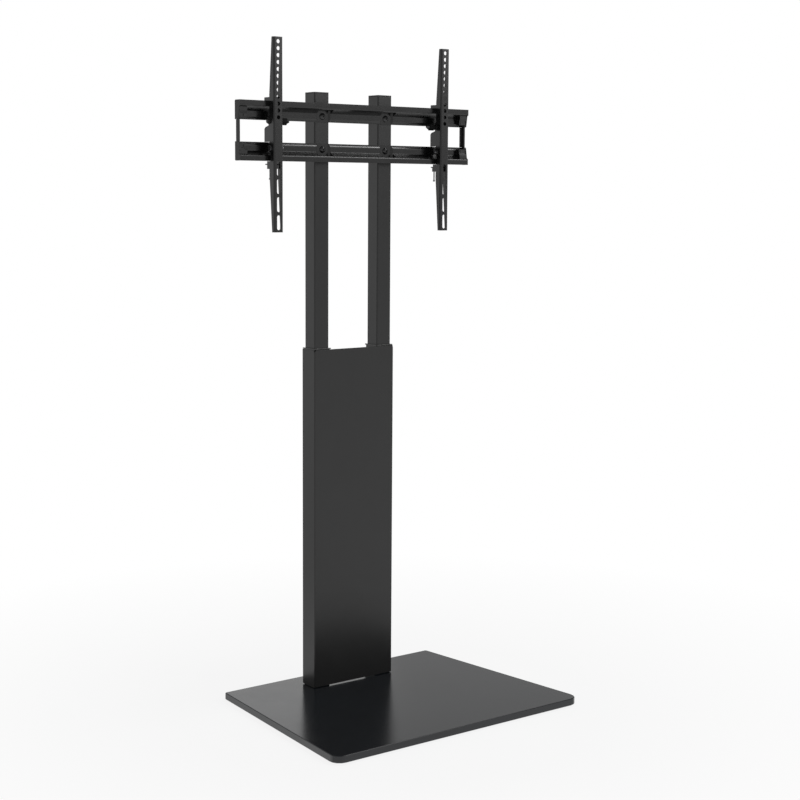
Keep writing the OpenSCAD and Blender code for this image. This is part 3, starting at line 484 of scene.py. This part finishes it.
def thread(node, axis, start, end, radius, material, share):
    """Makes the ridge of a right-hand thread on a screw, from one end to the other"""
    low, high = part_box(node)
    along = Vector((0, 0, 0))
    along[axis] = 1
    tip = (low + high) / 2
    tip[axis] = min(start, end)
    pitch = radius * share
    turns = int(abs(end - start) / pitch) - 1
    out = along.orthogonal().normalized() * radius
    bm = bmesh.new()
    corners = [bm.verts.new(tip + along * pitch * k + out * r) for k, r in RIDGE]
    face = bm.faces.new(corners)
    bmesh.ops.spin(bm, geom=[*corners, *face.edges, face], cent=tip, axis=along,
                   dvec=along * pitch / RING, angle=2 * math.pi * turns, steps=RING * turns)
    bmesh.ops.recalc_face_normals(bm, faces=bm.faces)
    ridge = made_piece(bm, node + "_thread", angle=50)
    dress(ridge, material)
    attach(ridge, body_of(node))


def weld_bead(bm, start, end, size):
    """Adds a row of overlapping drops of uneven size along a joint"""
    span = end - start
    count = max(2, int(span.length / (size * BEAD_STEP)))
    for k in range(count + 1):
        wobble = 1 + BEAD_WOBBLE * math.sin(DROP_SWING * k + HEIGHT_SWING * start.z)
        place = Matrix.Translation(start + span * k / count)
        bmesh.ops.create_uvsphere(bm, u_segments=8, v_segments=6, radius=size * wobble,
                                  matrix=place)


# Operators, one for each group of pieces and one for the stage

class STAND_OT_board(bpy.types.Operator):
    """Board with rounded edges, its pads and the screws under it"""

    bl_idname = "stand.board"
    bl_label = "Board"

    def execute(self, context):
        board, hardware = context.scene.stand_board, context.scene.stand_hardware
        softened("base_board", board.edge, satin_lacquer("satin_lacquer", board), angle=20)
        softened("foot_pads", board.pad_edge, soft_rubber("foot_rubber"), segments=3)
        zinc = plated_steel("screw_zinc", tuple(hardware.zinc))
        softened("base_bolts", hardware.edge, zinc)
        softened("base_washers", hardware.thin_edge, zinc)
        return {"FINISHED"}


class STAND_OT_column(bpy.types.Operator):
    """Tubes, ties, cover and the cover's screws"""

    bl_idname = "stand.column"
    bl_label = "Column"

    def execute(self, context):
        scene = context.scene
        coats, plastic, hardware = scene.stand_coat, scene.stand_plastic, scene.stand_hardware
        coat = powder_coat("tube_coat", coats)
        for node in ("outer_tube_left", "outer_tube_right", "tie_lower", "tie_upper"):
            softened(node, coats.edge, coat)
        softened("column_cover", coats.edge, powder_coat("cover_coat", coats, tone=1.15))
        black = blackened_steel("screw_black", tuple(hardware.black))
        softened("cover_screws", hardware.edge, black)
        self.welds(coat)
        bush = moulded_plastic("bush_plastic", plastic, tone=6.5, roughness=-0.28)
        for side in SIDES:
            softened("tube_bush_" + side, plastic.collar, bush, segments=3)
        return {"FINISHED"}

    def welds(self, coat):
        """Beads round the ends of the ties' flanges on the tubes"""
        inset, proud = 0.0006, 0.0002
        end_gap, front_gap, back_gap = 0.003, 0.002, 0.008
        bm = bmesh.new()
        for node in ("tie_lower", "tie_upper"):
            low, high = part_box(node)
            for x in (low.x + inset, high.x - inset):
                foot = Vector((x, high.y + proud, low.z + end_gap))
                top = Vector((x, high.y + proud, high.z - end_gap))
                weld_bead(bm, foot, top, FLANGE_BEAD)
                for z in (low.z, high.z):
                    front = Vector((x, high.y - front_gap, z))
                    back = Vector((x, low.y + back_gap, z))
                    weld_bead(bm, front, back, EDGE_BEAD)
        beads = made_piece(bm, "tie_welds", angle=60)
        dress(beads, coat)
        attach(beads, body_of("tie_lower"))


class STAND_OT_clamps(bpy.types.Operator):
    """Weld nuts and knobs that hold the posts"""

    bl_idname = "stand.clamps"
    bl_label = "Clamps"

    def execute(self, context):
        plastic, hardware = context.scene.stand_plastic, context.scene.stand_hardware
        coat = bpy.data.materials["tube_coat"]
        zinc = bpy.data.materials["screw_zinc"]
        grip = moulded_plastic("knob_plastic", plastic, tone=0.5, roughness=0.1, shine=0.1)
        past_nut = 0.004
        for side, way in SIDES.items():
            nut, knob = "clamp_nut_" + side, "clamp_knob_" + side
            softened(nut, hardware.edge, coat)
            softened(knob, plastic.clamp_grip, grip, segments=3, shaft=(0, CLAMP_R, zinc))
            tip = max(abs(c.x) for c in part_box(knob))
            end = min(abs(c.x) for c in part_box(nut)) - past_nut
            thread(knob, 0, way * tip, way * end, CLAMP_R, zinc, hardware.pitch)
            self.bead(nut, way, coat)
        return {"FINISHED"}

    def bead(self, nut, way, coat):
        """Ring of weld round the foot of a six-sided nut on its tube"""
        sunk = 0.0004
        low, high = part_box(nut)
        middle = (low + high) / 2
        middle.x = way * (max(abs(low.x), abs(high.x)) - sunk)
        reach = (high.y - low.y) / 2
        corners = [math.radians(60 * k + 30) for k in range(7)]
        ring = [middle + Vector((0, reach * math.cos(a), reach * math.sin(a))) for a in corners]
        bm = bmesh.new()
        for start, end in zip(ring, ring[1:]):
            weld_bead(bm, start, end, NUT_BEAD)
        piece = made_piece(bm, nut + "_weld", angle=60)
        dress(piece, coat)
        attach(piece, body_of(nut))


class STAND_OT_posts(bpy.types.Operator):
    """Sliding posts with their caps and glides"""

    bl_idname = "stand.posts"
    bl_label = "Posts"

    def execute(self, context):
        coats, plastic = context.scene.stand_coat, context.scene.stand_plastic
        coat = powder_coat("post_coat", coats, tone=1.1)
        moulded = moulded_plastic("cap_plastic", plastic)
        for side in SIDES:
            softened("inner_post_" + side, coats.edge, coat)
            softened("post_cap_" + side, plastic.edge, moulded, segments=3)
            softened("post_glide_" + side, plastic.edge, moulded)
        return {"FINISHED"}


class STAND_OT_rails(bpy.types.Operator):
    """Folded rails, their caps and their bolts"""

    bl_idname = "stand.rails"
    bl_label = "Rails"

    def execute(self, context):
        scene = context.scene
        coats, plastic, hardware = scene.stand_coat, scene.stand_plastic, scene.stand_hardware
        coat = powder_coat("rail_coat", coats, roughness=-0.10)
        softened("rail_top", coats.edge, coat)
        softened("rail_bottom", coats.edge, coat)
        for side in SIDES:
            softened("rail_cap_" + side, plastic.edge, bpy.data.materials["cap_plastic"])
        shiny = blackened_steel("bolt_black", tuple(hardware.black), smooth=0.06, dull=0.12)
        softened("rail_bolts", hardware.edge, shiny)
        zinc = bpy.data.materials["screw_zinc"]
        softened("rail_washers", hardware.thin_edge, zinc)
        softened("rail_nuts", hardware.edge, zinc)
        black = bpy.data.materials["screw_black"]
        softened("cap_screws", hardware.head_edge, black, segments=3)
        return {"FINISHED"}


class STAND_OT_arms(bpy.types.Operator):
    """Hook brackets, tilting arms and their hardware"""

    bl_idname = "stand.arms"
    bl_label = "Arms"

    def execute(self, context):
        scene = context.scene
        coats, plastic, hardware = scene.stand_coat, scene.stand_plastic, scene.stand_hardware
        arm = powder_coat("arm_coat", coats, tone=1.05, roughness=-0.04)
        bracket = powder_coat("bracket_coat", coats, tone=0.95, roughness=-0.08)
        zinc = bpy.data.materials["screw_zinc"]
        grip = bpy.data.materials["knob_plastic"]
        black = bpy.data.materials["screw_black"]
        inside_nut, screw_head = 0.003, 0.0025
        for side, way in SIDES.items():
            softened("arm_" + side, coats.edge, arm)
            softened("hook_bracket_" + side, coats.edge, bracket)
            softened("tilt_knob_" + side, plastic.tilt_grip, grip, segments=3)
            for node in ("pivot_nut_", "lock_nut_", "tilt_washers_"):
                softened(node + side, hardware.edge, black)
            softened("pivot_bolt_" + side, hardware.edge, zinc, shaft=(0, PIVOT_R, zinc))
            softened("tilt_bolt_" + side, hardware.edge, black, shaft=(0, TILT_R, zinc))
            softened("lock_screw_" + side, hardware.edge, zinc, shaft=(2, LOCK_R, zinc))
            for bolt, nut, radius in (("pivot_bolt_", "pivot_nut_", PIVOT_R),
                                      ("tilt_bolt_", "tilt_knob_", TILT_R)):
                tip = min(abs(c.x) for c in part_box(bolt + side))
                end = min(abs(c.x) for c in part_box(nut + side)) + inside_nut
                thread(bolt + side, 0, way * tip, way * end, radius, zinc, hardware.pitch)
            low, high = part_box("lock_screw_" + side)
            thread("lock_screw_" + side, 2, low.z + screw_head, high.z, LOCK_R, zinc,
                   hardware.pitch)
        return {"FINISHED"}


class STAND_OT_stage(bpy.types.Operator):
    """Pale floor, white backdrop, soft lights and the camera"""

    bl_idname = "stand.stage"
    bl_label = "Stage"

    def execute(self, context):
        scene = context.scene
        stage = scene.stand_stage
        self.floor(stage.floor)
        self.room(scene, stage)
        for name, (power, size, place, target) in LIGHTS.items():
            self.light(name, getattr(stage, power), size, place, target)
        self.camera(scene, stage)
        scene.view_settings.view_transform = "Standard"
        return {"FINISHED"}

    def floor(self, shine):
        """Round pale floor that takes shadows near the stand and is plain white further off"""
        bm = bmesh.new()
        bmesh.ops.create_circle(bm, cap_ends=True, radius=FLOOR_R, segments=64)
        floor = made_piece(bm, "floor")
        m = Shades("floor_white")
        m.shader.inputs["Base Color"].default_value = (0.9, 0.9, 0.9, 1)
        m.shader.inputs["Roughness"].default_value = 0.9
        ways = m.node("ShaderNodeLightPath")
        reach = m.node("ShaderNodeVectorMath", operation="LENGTH")
        m.link(m.place(), reach.inputs[0])
        fade = m.mapped(reach.outputs["Value"], SHADED_SHARE, 1, SHADED_TO, WHITE_FROM)
        share = m.node("ShaderNodeMath", operation="MULTIPLY")
        m.link(fade, share.inputs[0])
        m.link(ways.outputs["Is Camera Ray"], share.inputs[1])
        spot = m.node("ShaderNodeSeparateXYZ")
        m.link(m.place(), spot.inputs["Vector"])
        # Painted light and shade: the floor glows in reflections, and less so behind the stand
        shines = m.mapped(spot.outputs["Y"], shine, shine * SHINE_BEHIND, SHINE_FROM, SHINE_TO)
        seen = m.node("ShaderNodeMath", operation="MULTIPLY_ADD", use_clamp=True)
        m.link(ways.outputs["Is Glossy Ray"], seen.inputs[0])
        m.link(shines, seen.inputs[1])
        m.link(share.outputs["Value"], seen.inputs[2])
        glow = m.node("ShaderNodeEmission", Strength=1)
        mix = m.node("ShaderNodeMixShader")
        m.link(seen.outputs["Value"], mix.inputs["Fac"])
        m.link(m.shader.outputs["BSDF"], mix.inputs[1])
        m.link(glow.outputs["Emission"], mix.inputs[2])
        m.link(mix.outputs["Shader"], m.tree.nodes["Material Output"].inputs["Surface"])
        dress(floor, m.material)

    def room(self, scene, stage):
        """Pale room round the stand, plain white to the camera and through glass"""
        world = bpy.data.worlds.new("pale_room")
        scene.world = world
        world.use_nodes = True
        tree = world.node_tree
        back = tree.nodes["Background"]
        back.inputs["Color"].default_value = (1, 1, 1, 1)
        ways = tree.nodes.new("ShaderNodeLightPath")
        seen = tree.nodes.new("ShaderNodeMath")
        seen.operation = "MAXIMUM"
        way = tree.nodes.new("ShaderNodeTexCoord")
        height = tree.nodes.new("ShaderNodeSeparateXYZ")
        walls = tree.nodes.new("ShaderNodeMapRange")
        walls.inputs["From Max"].default_value = WALL_TOP
        walls.inputs["To Min"].default_value = stage.room
        walls.inputs["To Max"].default_value = stage.ceiling
        spread = tree.nodes.new("ShaderNodeMapRange")
        tree.links.new(way.outputs["Generated"], height.inputs["Vector"])
        tree.links.new(height.outputs["Z"], walls.inputs["Value"])
        tree.links.new(walls.outputs["Result"], spread.inputs["To Min"])
        tree.links.new(ways.outputs["Is Camera Ray"], seen.inputs[0])
        tree.links.new(ways.outputs["Is Transmission Ray"], seen.inputs[1])
        tree.links.new(seen.outputs["Value"], spread.inputs["Value"])
        tree.links.new(spread.outputs["Result"], back.inputs["Strength"])

    def light(self, name, power, size, place, target):
        """Square soft light that faces a point and that the camera doesn't see"""
        lamp = bpy.data.lights.new(name, "AREA")
        lamp.shape = "SQUARE"
        lamp.size = size
        lamp.energy = power
        thing = bpy.data.objects.new(name, lamp)
        thing.location = place
        thing.rotation_euler = (Vector(target) - Vector(place)).to_track_quat("-Z", "Y").to_euler()
        thing.visible_camera = False
        bpy.context.scene.collection.objects.link(thing)

    def camera(self, scene, stage):
        """Camera at the photograph's place and angle"""
        yaw, pitch, roll = stage.yaw, stage.pitch, stage.roll
        ahead = Vector((math.sin(yaw) * math.cos(pitch), math.cos(yaw) * math.cos(pitch),
                        -math.sin(pitch)))
        level = Vector((math.cos(yaw), -math.sin(yaw), 0))
        down = ahead.cross(level)
        across = math.cos(roll) * level + math.sin(roll) * down
        below = -math.sin(roll) * level + math.cos(roll) * down
        turn = Matrix((across, -below, -ahead)).transposed()
        lens = bpy.data.cameras.new("photo_camera")
        lens.lens = stage.lens
        lens.sensor_width = 36
        lens.clip_start = 0.05
        lens.clip_end = 60
        camera = bpy.data.objects.new("photo_camera", lens)
        camera.matrix_world = Matrix.Translation(Vector(stage.place)) @ turn.to_4x4()
        scene.collection.objects.link(camera)
        scene.camera = camera


# Panel and registration

BUILDERS = (STAND_OT_board, STAND_OT_column, STAND_OT_clamps, STAND_OT_posts, STAND_OT_rails,
            STAND_OT_arms, STAND_OT_stage)


class STAND_PT_panel(bpy.types.Panel):
    """Lists the stand's pieces"""

    bl_idname = "STAND_PT_panel"
    bl_label = "Television stand"
    bl_space_type = "VIEW_3D"
    bl_region_type = "UI"
    bl_category = "TV stand"

    def draw(self, context):
        for builder in BUILDERS:
            self.layout.operator(builder.bl_idname)
        for key, group in SETTINGS.items():
            box = self.layout.box()
            box.label(text=group.__doc__)
            for name in group.__annotations__:
                box.prop(getattr(context.scene, key), name)


def register():
    """Registers the settings, the operators and the panel"""
    for key, group in SETTINGS.items():
        bpy.utils.register_class(group)
        setattr(bpy.types.Scene, key, bpy.props.PointerProperty(type=group))
    for item in (*BUILDERS, STAND_PT_panel):
        bpy.utils.register_class(item)


def unregister():
    """Takes back what register did"""
    for item in (STAND_PT_panel, *reversed(BUILDERS)):
        bpy.utils.unregister_class(item)
    for key, group in reversed(SETTINGS.items()):
        delattr(bpy.types.Scene, key)
        bpy.utils.unregister_class(group)


def main():
    """Builds the stand and its stage"""
    register()
    for builder in BUILDERS:
        group, name = builder.bl_idname.split(".")
        getattr(getattr(bpy.ops, group), name)()


if __name__ == "__main__":
    main()
